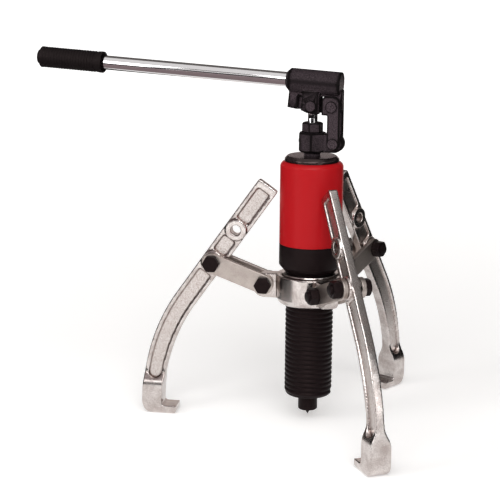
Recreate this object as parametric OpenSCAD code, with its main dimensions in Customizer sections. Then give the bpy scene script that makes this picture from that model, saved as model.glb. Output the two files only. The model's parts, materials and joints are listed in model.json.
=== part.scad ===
// Hydraulic three-jaw gear puller with a hand pump, in millimetres, +Z up along the ram.
// The origin is the centre of the ram nose's flat end face, and the lever points along -X.

/* [Ram] */
// Diameter of the ram nose
nose_d = 24.5; // [23:0.5:28]
// Length of the ram nose below the barrel
nose_len = 21; // [14:0.5:30]
// Diameter of the centre point where it leaves the nose
point_d = 9; // [6:0.5:12]
// Length of the centre point below the nose face
point_len = 8; // [5:0.5:11]
// Diameter of the rod inside the barrel
rod_d = 22; // [18:0.5:24]
// Length of the piston
piston_len = 26; // [20:1:32]
// Wire diameter of the return spring
spring_wire = 4; // [3:0.2:4.6]
// Number of turns of the return spring
spring_turns = 15; // [10:1:18]

/* [Barrel] */
// Diameter over the thread crests
barrel_d = 60; // [58:0.5:64]
// Length of the threaded part
thread_len = 160; // [140:1:180]
// Bevel at the barrel's lower end
barrel_bevel = 2; // [1:0.5:3]
// Distance between the thread's turns
thread_pitch = 6; // [4:0.5:8]
// Depth of the thread's grooves
thread_depth = 1.3; // [0.8:0.1:1.6]
// Bore for the piston
bore_d = 42; // [40:0.5:44]
// Diameter of the barrel inside the reservoir
neck_d = 56; // [52:0.5:57]
// Length of the rod guide in the barrel's mouth
guide_len = 25; // [18:1:32]

/* [Reservoir] */
// Outer diameter of the reservoir sleeve
sleeve_d = 78; // [74:0.5:80]
// Length of the painted reservoir sleeve
sleeve_len = 103.2; // [90:0.5:120]
// Wall of the reservoir sleeve
sleeve_wall = 4; // [3:0.25:5]
// Radius of the sleeve's top shoulder
shoulder_r = 6.5; // [4:0.5:7]
// Length of the black band under the sleeve
band_len = 35; // [28:0.5:42]
// Height of the band's lower bevel
band_bevel = 8.5; // [5:0.5:12]
// Diameter of the band at the foot of its bevel
band_foot_d = 64; // [62:0.5:68]
// Diameter of the top cap
cap_d = 67.5; // [66:0.5:69]
// Height of the top cap above the sleeve
cap_h = 7; // [5:0.5:10]
// Width and height of the top cap's bevel
cap_bevel = 3.4; // [2:0.2:4]
// Depth of the cap's spigot in the sleeve
cap_spigot = 6.2; // [5.6:0.2:8]
// Thickness of the valve block's flange on the barrel
head_flange = 13; // [10:0.5:16]

/* [Yoke] */
// Outer diameter of the yoke's collar
yoke_d = 83; // [78:0.5:86]
// Height of the yoke's collar
yoke_h = 37.2; // [34:0.1:42]
// Gap between the collar and the band above it
yoke_gap = 4.5; // [3.5:0.5:8]
// Height of the raised rim on top of the collar
rim_h = 2.6; // [1.5:0.1:3]
// Diameter of the raised rim
rim_d = 71; // [67:0.5:76]
// Radius of the collar's lower edge
yoke_round = 8; // [4:0.5:9]
// Distance of the lug bolts from the ram axis
lug_r = 57.25; // [56.5:0.25:62]
// Depth of the lug bolts below the collar's top
lug_drop = 13.8; // [13.6:0.2:18]
// Thickness of a lug
lug_t = 17; // [14:0.5:20]
// Radius of a lug's end
lug_end_r = 13.5; // [11:0.25:13.5]
// Extra depth of a lug below its bolt
lug_sag = 4; // [0:0.5:6]

/* [Jaw links] */
// Distance between the two bolts of a link
link_span = 70.3; // [66:0.1:76]
// Width of a link plate
link_w = 25; // [22:0.5:27]
// Thickness of a link plate
link_t = 6; // [4:0.5:8]

/* [Jaws] */
// Width of the jaw's shank
jaw_w = 28.5; // [26:0.25:32]
// Thickness over the jaw's flanges
flange_t = 11; // [9:0.5:14]
// Thickness of the jaw's web between the pockets
web_t = 6; // [4:0.25:8]
// Width of the jaw's flanges
flange_w = 5; // [4:0.25:6.5]
// Lean of the shank from the vertical
jaw_lean = 35; // [32:0.5:37]
// Length of the shank above the jaw bolt
shank_up = 122; // [112:0.5:124]
// Distance from the jaw bolt up to the spare hole
spare_up = 51.7; // [48:0.1:56]
// Radius of the boss round the spare hole
spare_boss_r = 13.5; // [11:0.25:14]
// Diameter of the spare hole
spare_d = 12.5; // [12.2:0.1:13.5]
// Straight length of the shank below the jaw bolt
shank_down = 59; // [54:0.5:64]
// Radius of the curved limb at its middle
limb_r = 238; // [220:1:250]
// Radius of the limb's inner side, which thins it towards the hook
inner_r = 240; // [224:1:250]
// Height of the hook below the end of the limb
hook_drop = 18.3; // [16:0.1:24]
// Width of the hook
hook_w = 27; // [24:0.5:30]
// Thickness of the hook's lip
lip_t = 10.8; // [9:0.1:14]
// Reach of the hook's lip inside the limb
lip_reach = 19; // [14:0.5:22]
// Radius of the hook's heel
heel_r = 15; // [13:0.25:17]
// Height above the sole where the hook starts to flare
flare_up = 62; // [58:0.5:66]
// Height over which the limb flares to the hook's width
flare_run = 28; // [24:0.5:32]

/* [Jaw rest pose] */
// Rise of the first two links above the horizontal
link_tilt = 20.45; // [16:0.05:22]
// Inward swing of the third jaw, which stands closer than the others
third_swing = 2.5; // [1:0.25:7]
// Direction of the first jaw, counted from +X
first_azimuth = 188; // [170:1:200]

/* [Bolts] */
// Diameter of the puller's bolts
bolt_d = 12; // [10:0.5:12.5]
// Width across the flats of the bolt heads and nuts
bolt_af = 19; // [17:0.5:21]
// Height of a bolt head
head_h = 7.5; // [6:0.25:9]
// Height of a nut
nut_h = 10.8; // [9:0.2:12]
// Length of the bolt that shows past its nut
bolt_tail = 3; // [1.5:0.25:5]

/* [Pump head] */
// Gap between the cap and the pump body
head_gap = 4.2; // [3.5:0.1:6]
// Width across the flats of the pump body
pump_af = 31.4; // [30:0.5:34]
// Height of the pump body's hexagon
pump_h = 24.4; // [23:0.2:30]
// Width across the flats of the gland nut
gland_af = 23; // [22:0.5:27]
// Height of the gland nut
gland_h = 12.3; // [10:0.1:14]
// Diameter of the pump plunger
plunger_d = 12; // [10:0.25:12.5]
// Diameter of the swivel neck in the cap
swivel_d = 20; // [18:0.5:22]
// Diameter of the flange that holds the neck in the cap
flange_d = 27; // [25:0.5:29]
// Thickness of that flange
flange_h = 3; // [2.4:0.1:3.4]
// Head diameter of the release screw
release_d = 13; // [10:0.5:15]
// Length of the release screw's head
release_len = 10; // [8:0.5:14]

/* [Fulcrum] */
// Distance from the plunger's axis to the link pin
arm = 26; // [25.5:0.25:28]
// Distance from the plunger's axis to the base pin
base_x = 28.5; // [28:0.25:31]
// Height of the base pin above the pump body's foot
base_rise = 12.3; // [12:0.1:14]
// Height of the plunger pin above the gland nut
pin_rise = 20.6; // [18.5:0.1:24]
// Diameter of the three pins
pin_d = 8; // [6:0.25:8.5]
// Diameter of the pins' heads and clips
pin_head_d = 14; // [12.5:0.5:15]
// Thickness of a pin's head and clip
pin_head_t = 2; // [1.4:0.1:2.6]
// Thickness of a fulcrum link
fulcrum_t = 5; // [4:0.25:6]
// Width of a fulcrum link's shank
fulcrum_w = 15.5; // [14:0.25:17]
// Reach of a fulcrum link's head from the link pin towards the plunger
fulcrum_front = 12.3; // [10:0.1:12.6]
// Height of a fulcrum link's head above the link pin
fulcrum_top = 12.8; // [11:0.1:13]
// Radius of the base lug's end
base_lug_r = 11.5; // [10:0.1:12]
// Thickness of the tongues between the fulcrum links
tongue_t = 13; // [11:0.25:14]

/* [Lever] */
// Rise of the lever towards its grip
lever_tilt = 2.9; // [0:0.05:5]
// Height of the lever's axis above the plunger pin
tube_rise = 28.7; // [28:0.1:32]
// Diameter of the handle tube
tube_d = 18; // [16:0.25:20]
// Outer diameter of the handle socket
socket_d = 29; // [27:0.5:30]
// Length of the socket on the grip's side of the plunger
socket_front = 33; // [30:0.5:40]
// Length of the socket on the far side of the plunger
socket_back = 35.5; // [34:0.5:38]
// Bevel at the socket's mouth
socket_bevel = 4.6; // [2:0.1:5]
// Thickness of a cheek beside the plunger
cheek_t = 6; // [4:0.25:7]
// Thickness of the plunger's eye
eye_t = 9.6; // [8:0.1:10.4]
// Thickness of the gusset under the socket
gusset_t = 12; // [9:0.5:14]
// Distance from the plunger's axis to the end of the grip
grip_reach = 365; // [320:1:380]
// Length of the grip
grip_len = 90; // [80:1:105]
// Diameter of the grip at its ends
grip_d = 27; // [25:0.5:30]
// Diameter of the grip in the middle
grip_waist_d = 25.6; // [24:0.2:27]

/* [Fits] */
// Radial clearance of shafts, pins and seals that turn or slide
running = 0.05; // [0.02:0.01:0.1]
// Gap between flat faces that move past each other
face_gap = 0.3; // [0.2:0.05:0.5]
// Radial play of the plunger pin in the cheeks
pin_play = 1.4; // [1.3:0.05:1.6]

/* [Hidden] */
$fn = 96;

// Heights along the ram, from the nose up
z_barrel = nose_len + face_gap;
z_guide_top = z_barrel + guide_len;
z_shoulder = z_barrel + thread_len;
z_band_top = z_shoulder + band_len;
z_sleeve_top = z_band_top + sleeve_len;
z_cap_bottom = z_sleeve_top - cap_spigot;
z_cap_top = z_sleeve_top + cap_h;
z_neck_top = z_cap_bottom - head_flange;
z_yoke_top = z_shoulder - yoke_gap;
z_lug = z_yoke_top - lug_drop;
z_pump = z_cap_top + head_gap;
z_pump_top = z_pump + pump_h;
z_gland_top = z_pump_top + gland_h;
z_pin = z_gland_top + pin_rise;
z_base = z_pump + base_rise;

// Thread, measured along the barrel
groove_mouth = thread_pitch * 0.7;
groove_root = thread_pitch * 0.24;
groove_count = floor((thread_len - 2 * barrel_bevel) / thread_pitch);

// Inside the barrel
head_spigot = 9.5;
z_head_bottom = z_neck_top - head_spigot;
z_piston_top = z_head_bottom - face_gap;
z_piston = z_piston_top - piston_len;
seal_w = 3.4;
seal_h = 4;
rod_r = rod_d / 2;
bore_r = bore_d / 2;
spring_r = (rod_r + bore_r) / 2;
spring_sides = 6;
spring_steps = 8;
passage_d = 3;
ball_d = 6;
ball_pocket_d = ball_d + 0.6;
ball_ring_r = 19;
ball_pocket_depth = 8;

// Band and sleeve
spigot_h = 8;
band_seal_w = 2.4;
band_seal_h = 3;
sleeve_r = sleeve_d / 2;
sleeve_bore_r = sleeve_r - sleeve_wall;
shoulder_t = cap_spigot;
cap_spigot_r = cap_d / 2 - 3.8;
plug_d = 8;
plug_len = 9;
plug_ring_r = 23;
plug_hex = 4;

// Jaws, seen from the side with u outwards and v up from the jaw bolt
jaw_count = 3;

function azimuth(k) = first_azimuth + 120 * k;
swings = [0, 0, -third_swing];
limb_inner = limb_r - jaw_w / 2;
limb_outer = limb_r + jaw_w / 2;
limb_start = [shank_down * sin(jaw_lean), -shank_down * cos(jaw_lean)];
limb_centre = limb_start - limb_r * [cos(jaw_lean), sin(jaw_lean)];
sole_v = limb_centre[1] - hook_drop;
inner_shift = limb_inner - inner_r;
limb_inner_u = limb_centre[0] + inner_shift * cos(jaw_lean)
    + sqrt(pow(inner_r, 2) - pow(inner_shift * sin(jaw_lean), 2));
limb_outer_u = limb_centre[0] + limb_outer;
heel = [limb_outer_u - heel_r, sole_v + heel_r];
lip_tip_u = limb_inner_u - lip_reach;
lip_top_v = sole_v + lip_t;
sole_edge_r = 5;
lug_root = 6;
lip_fillet_r = 4;
flare_v = sole_v + flare_up;
flare_mid = flare_v - flare_run / 2;
flare_low = flare_v - flare_run;
flare_rise = (hook_w - flange_t) / 2;
flare_r = (pow(flare_rise, 2) + pow(flare_run, 2)) / (4 * flare_rise);
jaw_boss_t = lug_t;
pocket_round = 3;
pocket_margin = 9;
pocket_thin = 1.6;
pocket_up = 54;
pocket_end_angle = asin((sole_v + pocket_up - limb_centre[1]) / limb_r);
pocket_w = jaw_w - 2 * flange_w;
shank_corner = 3;

// A jaw's lowest point below its bolt, when it is swung by an angle
function jaw_low(swing) = heel[0] * sin(swing) + heel[1] * cos(swing) - heel_r;
// Each link's rise puts the three hooks on one floor
function rise(k) = asin(sin(link_tilt) + (jaw_low(0) - jaw_low(swings[k])) / link_span);

// Bolts, measured from the middle of a lug
link_inner = lug_t / 2 + face_gap;
link_outer = link_inner + link_t;
head_face = link_outer + face_gap;
bolt_hole_r = bolt_d / 2 + running;

// Lever, measured from the plunger pin
cheek_inner = eye_t / 2 + face_gap + 0.1;
cheek_outer = cheek_inner + cheek_t;
cheek_top = 10.2;
cheek_front = 12.8;
cheek_lip = 5.4;
cheek_chin = [-5.4, -8.4];
cheek_sole = 1.6;
cheek_drop = 9.6;
cheek_back = 8.6;
step_back = 10.3;
step_outer = cheek_outer - 2.4;
gusset_front = 31;
gusset_back = 17.8;
lever_web_t = 6;
web_back = 10;
bridge_z = 11.5;
gusset_toe = 3;
gusset_heel = 5;
gusset_slope = 2;
tongue_r = 9;
tongue_drop = 6;
tongue_back = socket_back + 2;
tongue_top = 20;
fulcrum_inner = tongue_t / 2 + face_gap;
fulcrum_outer = fulcrum_inner + fulcrum_t;
fulcrum_drop = 10.5;
fulcrum_back = base_x + fulcrum_w / 2 - arm;
front_round = 6;
back_round = 9;
eye_r = 8;
rod_drop = 15.6;
socket_r = socket_d / 2;
bore_past = 20;
socket_depth = socket_front + bore_past;
web_top = tube_rise - socket_r + 4;
pin_hole_r = pin_d / 2 + running;
open_hole_r = pin_d / 2 + pin_play;

// Pump body
gland_spigot_h = 6;
gland_spigot_d = 18;
pump_turn = 39;
gland_turn = 26;
plunger_seal_h = 4;
hex_bevel = 2;
release_shank_d = 7;
release_z = 11;
release_turn = 129;
release_seat = 9.5;
release_gap = 2;
grip_wall_end = 4;
grip_edge = 3;
swivel_seal_h = 2.6;
swivel_seal_w = 2.3;

// Seats and joints between the pieces
band_bore_r = neck_d / 2 + running;
spigot_r = sleeve_bore_r - running;
z_spigot_seal = z_band_top + (spigot_h - band_seal_h) / 2;
z_neck_seal = z_band_top - 2 * band_seal_h;
flange_pocket_r = flange_d / 2 + face_gap;
z_flange_pocket = z_cap_bottom + flange_h + 2 * face_gap;
swivel_bore_r = swivel_d / 2 + running;
z_swivel_seal = z_flange_pocket + 3;
z_head_seal = z_head_bottom + (head_spigot - band_seal_h) / 2;
nose_spigot_d = 12;
nose_spigot_len = 11;
piston_spigot_d = 16;
piston_spigot_len = piston_len - 8;
point_stem_d = 6;
point_stem_len = 8;
z_piston_seal = z_piston + (piston_len - seal_h) / 2;
z_flange = z_cap_bottom + face_gap;
z_seal_seat = z_pump_top - gland_spigot_h - plunger_seal_h;
clip_groove = 0.8;
link_half = fulcrum_outer + face_gap;
cheek_half = cheek_outer + face_gap;

steel = [0.72, 0.70, 0.69];
satin = [0.66, 0.62, 0.60];
chrome = [0.85, 0.85, 0.87];
black = [0.11, 0.10, 0.10];
red = [0.78, 0.12, 0.15];
bronze = [0.66, 0.50, 0.30];
rubber = [0.09, 0.09, 0.09];

// A plate drawn in the XZ plane, from y0 to y1
module side_plate(y0, y1) {
    translate([0, y1, 0]) rotate([90, 0, 0]) linear_extrude(height = y1 - y0) children();
}

// A ring on the ram axis
module ring(r_out, r_in, z, h) {
    rotate_extrude() translate([r_in, z]) square([r_out - r_in, h]);
}

// A hexagonal prism with bevelled corners at its lower and upper end
module bevelled_hex(af, h, low, high) {
    corner_r = af / sqrt(3);
    intersection() {
        cylinder(r = corner_r, h = h, $fn = 6);
        rotate_extrude() polygon([
            [0, 0], [corner_r - low, 0], [corner_r + 0.1, low * 0.7], [corner_r + 0.1, h - high * 0.7],
            [corner_r - high, h], [0, h]
        ]);
    }
}

// A rectangle with round corners, from its lower left corner
module round_rect(w, h, r) {
    translate([r, 0]) square([w - 2 * r, h]);
    translate([0, r]) square([w, h - 2 * r]);
    for (x = [r, w - r], y = [r, h - r]) translate([x, y]) circle(r);
}

// Cylinder

module barrel() color(black) rotate_extrude() difference() {
    polygon([
        [bore_r, z_barrel], [barrel_d / 2 - barrel_bevel, z_barrel], [barrel_d / 2, z_barrel + barrel_bevel],
        [barrel_d / 2, z_shoulder], [neck_d / 2, z_shoulder], [neck_d / 2, z_neck_top], [bore_r, z_neck_top]
    ]);
    for (i = [0:groove_count - 1])
        translate([barrel_d / 2, z_barrel + barrel_bevel + (i + 0.5) * thread_pitch]) groove_outline();
}

// One turn of the thread, drawn as a level groove that opens at the same slope past the crests
module groove_outline() polygon([
    [-thread_depth, -groove_root / 2], [thread_depth, groove_root / 2 - groove_mouth],
    [thread_depth, groove_mouth - groove_root / 2], [-thread_depth, groove_root / 2]
]);

module rod_guide() color(bronze) rotate_extrude() polygon([
    [rod_r + running * 2 + seal_w, z_barrel], [bore_r - running, z_barrel], [bore_r - running, z_guide_top],
    [rod_r + running, z_guide_top], [rod_r + running, z_barrel + seal_h],
    [rod_r + running * 2 + seal_w, z_barrel + seal_h]
]);

module rod_wiper() color(rubber)
    ring(rod_r + running + seal_w, rod_r + running, z_barrel + running, seal_h - 2 * running);

module lower_band() color(black) rotate_extrude() polygon([
    [band_bore_r, z_shoulder], [band_foot_d / 2, z_shoulder], [sleeve_r, z_shoulder + band_bevel],
    [sleeve_r, z_band_top], [spigot_r, z_band_top], [spigot_r, z_spigot_seal],
    [spigot_r - band_seal_w, z_spigot_seal], [spigot_r - band_seal_w, z_spigot_seal + band_seal_h],
    [spigot_r, z_spigot_seal + band_seal_h], [spigot_r, z_band_top + spigot_h],
    [band_bore_r, z_band_top + spigot_h], [band_bore_r, z_neck_seal + band_seal_h],
    [band_bore_r + band_seal_w, z_neck_seal + band_seal_h], [band_bore_r + band_seal_w, z_neck_seal],
    [band_bore_r, z_neck_seal]
]);

module band_seals() color(rubber) {
    ring(spigot_r, spigot_r - band_seal_w + running, z_spigot_seal + running, band_seal_h - 2 * running);
    ring(band_bore_r + band_seal_w - running, band_bore_r, z_neck_seal + running, band_seal_h - 2 * running);
}

module reservoir_sleeve() color(red) rotate_extrude() difference() {
    union() {
        translate([cap_spigot_r + running, z_band_top])
            square([sleeve_r - cap_spigot_r - running, sleeve_len - shoulder_r]);
        translate([cap_spigot_r + running, z_band_top])
            square([sleeve_r - shoulder_r - cap_spigot_r - running, sleeve_len]);
        translate([sleeve_r - shoulder_r, z_sleeve_top - shoulder_r]) circle(shoulder_r);
    }
    translate([0, z_band_top - 1]) square([sleeve_bore_r, sleeve_len - shoulder_t + 1]);
    square([cap_spigot_r + running, z_sleeve_top + 1]);
}

module top_cap() color(black) difference() {
    rotate_extrude() polygon([
        [flange_pocket_r, z_cap_bottom], [cap_spigot_r, z_cap_bottom], [cap_spigot_r, z_sleeve_top],
        [cap_d / 2, z_sleeve_top], [cap_d / 2, z_cap_top - cap_bevel], [cap_d / 2 - cap_bevel, z_cap_top],
        [swivel_bore_r, z_cap_top], [swivel_bore_r, z_swivel_seal + swivel_seal_h],
        [swivel_bore_r + swivel_seal_w, z_swivel_seal + swivel_seal_h],
        [swivel_bore_r + swivel_seal_w, z_swivel_seal], [swivel_bore_r, z_swivel_seal],
        [swivel_bore_r, z_flange_pocket], [flange_pocket_r, z_flange_pocket]
    ]);
    translate([0, plug_ring_r, z_cap_top - plug_len]) cylinder(d = plug_d + 2 * running, h = plug_len + 1);
    translate([0, plug_ring_r, z_cap_bottom - 1]) cylinder(d = passage_d, h = cap_h + cap_spigot);
}

module filler_plug() color(steel) translate([0, plug_ring_r, z_cap_top - plug_len]) difference() {
    cylinder(d = plug_d, h = plug_len);
    translate([0, 0, plug_len / 2]) cylinder(d = plug_hex * 2 / sqrt(3), h = plug_len, $fn = 6);
}

module valve_block() color(steel) difference() {
    rotate_extrude() polygon([
        [0, z_head_bottom], [bore_r - running, z_head_bottom], [bore_r - running, z_head_seal],
        [bore_r - running - band_seal_w, z_head_seal],
        [bore_r - running - band_seal_w, z_head_seal + band_seal_h],
        [bore_r - running, z_head_seal + band_seal_h],
        [bore_r - running, z_neck_top], [neck_d / 2, z_neck_top],
        [neck_d / 2, z_cap_bottom], [0, z_cap_bottom]
    ]);
    translate([0, 0, z_head_bottom - 1]) cylinder(d = passage_d, h = z_cap_bottom - z_head_bottom + 2);
    for (x = [-ball_ring_r, ball_ring_r]) translate([x, 0, z_cap_bottom - ball_pocket_depth])
        cylinder(d = ball_pocket_d, h = ball_pocket_depth + 1);
    translate([-passage_d / 2, plug_ring_r - passage_d / 2, z_cap_bottom - passage_d])
        cube([passage_d, neck_d, passage_d + 1]);
}

module check_balls() color(chrome) for (x = [-ball_ring_r, ball_ring_r])
    translate([x, 0, z_cap_bottom - ball_pocket_depth + ball_d / 2]) sphere(d = ball_d);

module head_seal() color(rubber) ring(bore_r - running, bore_r - band_seal_w, z_head_seal + running,
    band_seal_h - 2 * running);

// Ram

module ram_rod() color(chrome) {
    translate([0, 0, nose_len]) cylinder(d = rod_d, h = z_piston - nose_len);
    translate([0, 0, nose_len - nose_spigot_len]) cylinder(d = nose_spigot_d, h = nose_spigot_len + 1);
    translate([0, 0, z_piston - 1]) cylinder(d = piston_spigot_d, h = piston_spigot_len + 1);
}

module piston() color(steel) rotate_extrude() polygon([
    [piston_spigot_d / 2 + running, z_piston], [bore_r - running, z_piston],
    [bore_r - running, z_piston_seal],
    [bore_r - running - seal_w, z_piston_seal], [bore_r - running - seal_w, z_piston_seal + seal_h],
    [bore_r - running, z_piston_seal + seal_h], [bore_r - running, z_piston_top], [0, z_piston_top],
    [0, z_piston + piston_spigot_len + running],
    [piston_spigot_d / 2 + running, z_piston + piston_spigot_len + running]
]);

module piston_seal() color(rubber) ring(bore_r - running, bore_r - seal_w, z_piston_seal + running,
    seal_h - 2 * running);

module ram_nose() color(black) rotate_extrude() polygon([
    [point_stem_d / 2 + running, 0], [nose_d / 2 - 0.8, 0], [nose_d / 2, 0.8], [nose_d / 2, nose_len],
    [nose_spigot_d / 2 + running, nose_len],
    [nose_spigot_d / 2 + running, nose_len - nose_spigot_len - running],
    [point_stem_d / 2 + running, nose_len - nose_spigot_len - running]
]);

module centre_point() color(black) {
    translate([0, 0, -point_len]) cylinder(d1 = 0, d2 = point_d, h = point_len);
    translate([0, 0, -0.5]) cylinder(d = point_stem_d, h = point_stem_len + 0.5);
}

module return_spring() color(steel) {
    steps = spring_turns * spring_steps;
    z_low = z_guide_top + spring_wire / 2 + running;
    z_high = z_piston - spring_wire / 2 - running;
    points = [for (i = [0:steps], j = [0:spring_sides - 1])
        let (turn = 360 * i / spring_steps, side = 360 * j / spring_sides,
            r = spring_r + spring_wire / 2 * cos(side))
        [r * cos(turn), r * sin(turn), z_low + (z_high - z_low) * i / steps + spring_wire / 2 * sin(side)]];
    walls = [for (i = [0:steps - 1], j = [0:spring_sides - 1])
        let (a = i * spring_sides + j, b = i * spring_sides + (j + 1) % spring_sides)
        [a, b, b + spring_sides, a + spring_sides]];
    first = [for (j = [0:spring_sides - 1]) spring_sides - 1 - j];
    last = [for (j = [0:spring_sides - 1]) steps * spring_sides + j];
    polyhedron(points = points, faces = concat(walls, [first, last]));
}

// Pump head

module pump_body() color(black) difference() {
    union() {
        translate([0, 0, z_pump]) rotate([0, 0, pump_turn])
            bevelled_hex(pump_af, pump_h, hex_bevel * 2, hex_bevel);
        side_plate(-tongue_t / 2, tongue_t / 2) {
            translate([0, z_base - base_lug_r]) square([base_x, 2 * base_lug_r]);
            translate([base_x, z_base]) circle(base_lug_r);
        }
        translate([0, 0, z_flange]) cylinder(d = swivel_d, h = z_pump + 1 - z_flange);
        translate([0, 0, z_flange]) cylinder(d = flange_d, h = flange_h);
    }
    translate([0, 0, z_pump - 2]) cylinder(d = plunger_d + 2 * running, h = pump_h + 3);
    translate([0, 0, z_seal_seat]) cylinder(d = gland_spigot_d + 2 * running, h = pump_h);
    translate([0, 0, z_flange - 1]) cylinder(d = passage_d, h = z_pump - z_flange + 1);
    side_plate(-tongue_t, tongue_t) translate([base_x, z_base]) circle(pin_hole_r);
    at_release() {
        translate([0, 0, release_seat]) cylinder(d = release_shank_d + 2 * running, h = pump_af);
        cylinder(d = passage_d, h = pump_af / 2);
    }
}

// The release screw's axis, outwards from the plunger
module at_release() translate([0, 0, z_pump + release_z]) rotate([0, 90, release_turn]) children();

module release_screw() color(steel) at_release() {
    translate([0, 0, release_seat + face_gap])
        cylinder(d = release_shank_d, h = pump_af / 2 + release_gap - release_seat);
    translate([0, 0, pump_af / 2 + release_gap]) cylinder(d = release_d, h = release_len);
}

module gland_nut() color(black) difference() {
    union() {
        translate([0, 0, z_pump_top]) rotate([0, 0, gland_turn])
            bevelled_hex(gland_af, gland_h, 0, hex_bevel);
        translate([0, 0, z_pump_top - gland_spigot_h]) cylinder(d = gland_spigot_d, h = gland_spigot_h + 1);
    }
    translate([0, 0, z_pump_top - gland_spigot_h - 1])
        cylinder(d = plunger_d + 2 * running, h = gland_h * 2);
}

module plunger_seal() color(rubber) ring(gland_spigot_d / 2, plunger_d / 2 + running, z_seal_seat + running,
    plunger_seal_h - 2 * running);

module swivel_seal() color(rubber) ring(swivel_bore_r + swivel_seal_w - running, swivel_bore_r,
    z_swivel_seal + running, swivel_seal_h - 2 * running);

// A headed pin across the lever at (x, z), with a groove for its clip on the rear side
module cross_pin(x, z, half) translate([x, 0, z]) rotate([90, 0, 0]) {
    difference() {
        translate([0, 0, -half - pin_head_t - 1]) cylinder(d = pin_d, h = 2 * half + pin_head_t + 2);
        translate([0, 0, -half - pin_head_t]) rotate_extrude()
            translate([pin_d / 2 - clip_groove, 0]) square([pin_d, pin_head_t]);
    }
    translate([0, 0, half]) cylinder(d = pin_head_d, h = pin_head_t);
}

module pin_clip(x, z, half) translate([x, half + running, z]) rotate([-90, 0, 0])
    linear_extrude(height = pin_head_t - 2 * running) difference() {
        circle(d = pin_head_d - 1);
        circle(d = pin_d - 2 * clip_groove + 2 * running);
        translate([-pin_d / 4, 0]) square([pin_d / 2, pin_d * 2]);
    }

module base_pin() color(black) cross_pin(base_x, z_base, link_half);
module base_pin_clip() color(steel) pin_clip(base_x, z_base, link_half);
module link_pin() color(black) cross_pin(arm, z_pin, link_half);
module link_pin_clip() color(steel) pin_clip(arm, z_pin, link_half);
module plunger_pin() color(black) cross_pin(0, z_pin, cheek_half);
module plunger_pin_clip() color(steel) pin_clip(0, z_pin, cheek_half);

// A fulcrum link from the base pin up to the link pin
module fulcrum_outline() translate([arm, z_pin]) difference() {
    union() {
        translate([-fulcrum_front, -fulcrum_drop])
            square([fulcrum_front, fulcrum_drop + fulcrum_top - front_round]);
        translate([front_round - fulcrum_front, 0])
            square([fulcrum_front - front_round + fulcrum_back - back_round, fulcrum_top]);
        translate([front_round - fulcrum_front, fulcrum_top - front_round]) circle(front_round);
        translate([fulcrum_back - back_round, fulcrum_top - back_round]) circle(back_round);
        translate([fulcrum_back - fulcrum_w, z_base - z_pin])
            square([fulcrum_w, z_pin - z_base + fulcrum_top - back_round]);
        translate([base_x - arm, z_base - z_pin]) circle(d = fulcrum_w);
    }
    circle(pin_hole_r);
    translate([base_x - arm, z_base - z_pin]) circle(pin_hole_r);
}
module fulcrum_link_front() color(black) side_plate(-fulcrum_outer, -fulcrum_inner) fulcrum_outline();
module fulcrum_link_rear() color(black) side_plate(fulcrum_inner, fulcrum_outer) fulcrum_outline();

module plunger() color(chrome) difference() {
    union() {
        translate([0, 0, z_pump + 2]) cylinder(d = plunger_d, h = z_pin - rod_drop - z_pump - 2);
        intersection() {
            translate([0, 0, z_pin - rod_drop - 1]) cylinder(d = plunger_d, h = rod_drop + 1);
            translate([-plunger_d, -eye_t / 2, z_pin - rod_drop - 2])
                cube([2 * plunger_d, eye_t, rod_drop + 3]);
        }
        side_plate(-eye_t / 2, eye_t / 2) translate([0, z_pin]) circle(eye_r);
    }
    side_plate(-eye_t, eye_t) translate([0, z_pin]) circle(pin_hole_r);
}

// Lever

// The lever's axis, with +Z running away from the grip
module on_lever() translate([0, 0, z_pin + tube_rise]) rotate([0, 90 + lever_tilt, 0]) children();

module cheek_outline() difference() {
    polygon([[-cheek_top, web_top], [-cheek_front, -cheek_lip], cheek_chin, [cheek_sole, -cheek_drop],
        [cheek_back, -cheek_drop], [cheek_back, web_top]]);
    circle(open_hole_r);
}

module handle_socket() color(black) difference() {
    union() {
        on_lever() rotate_extrude() polygon([
            [0, -socket_front], [socket_r - socket_bevel, -socket_front],
            [socket_r, socket_bevel - socket_front],
            [socket_r, socket_back], [0, socket_back]
        ]);
        translate([0, 0, z_pin]) {
            side_plate(-gusset_t / 2, gusset_t / 2)
                polygon([[-gusset_front, -gusset_toe], [-gusset_back, -gusset_heel],
                    [-gusset_back, web_top], [gusset_slope - gusset_front, web_top]]);
            side_plate(-lever_web_t / 2, lever_web_t / 2) translate([-gusset_back - 1, -gusset_heel])
                square([gusset_back + 1 - web_back, web_top + gusset_heel]);
            side_plate(-tongue_t / 2, tongue_t / 2) translate([-gusset_back, bridge_z])
                square([gusset_back + arm, web_top - bridge_z]);
            side_plate(-cheek_outer, -cheek_inner) cheek_outline();
            side_plate(cheek_inner, cheek_outer) cheek_outline();
            for (y = [-step_outer, cheek_inner]) side_plate(y, y + step_outer - cheek_inner)
                translate([cheek_back, -cheek_drop]) square([step_back - cheek_back, web_top + cheek_drop]);
            side_plate(-tongue_t / 2, tongue_t / 2) {
                translate([arm, 0]) circle(tongue_r);
                translate([arm, -tongue_drop]) square([tongue_back - arm, tongue_top + tongue_drop]);
                translate([arm - tongue_r, 0]) square([tongue_r, tongue_top]);
            }
        }
    }
    on_lever() translate([0, 0, -socket_front - 1])
        cylinder(d = tube_d + 2 * running, h = socket_depth + 1);
    side_plate(-tongue_t, tongue_t) translate([arm, z_pin]) circle(pin_hole_r);
}

module handle_tube() color(chrome) on_lever() translate([0, 0, grip_wall_end - grip_reach]) difference() {
    cylinder(d = tube_d, h = grip_reach - grip_wall_end + socket_depth - socket_front - face_gap);
    translate([0, 0, -1]) cylinder(d = tube_d - 5, h = grip_reach);
}

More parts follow.
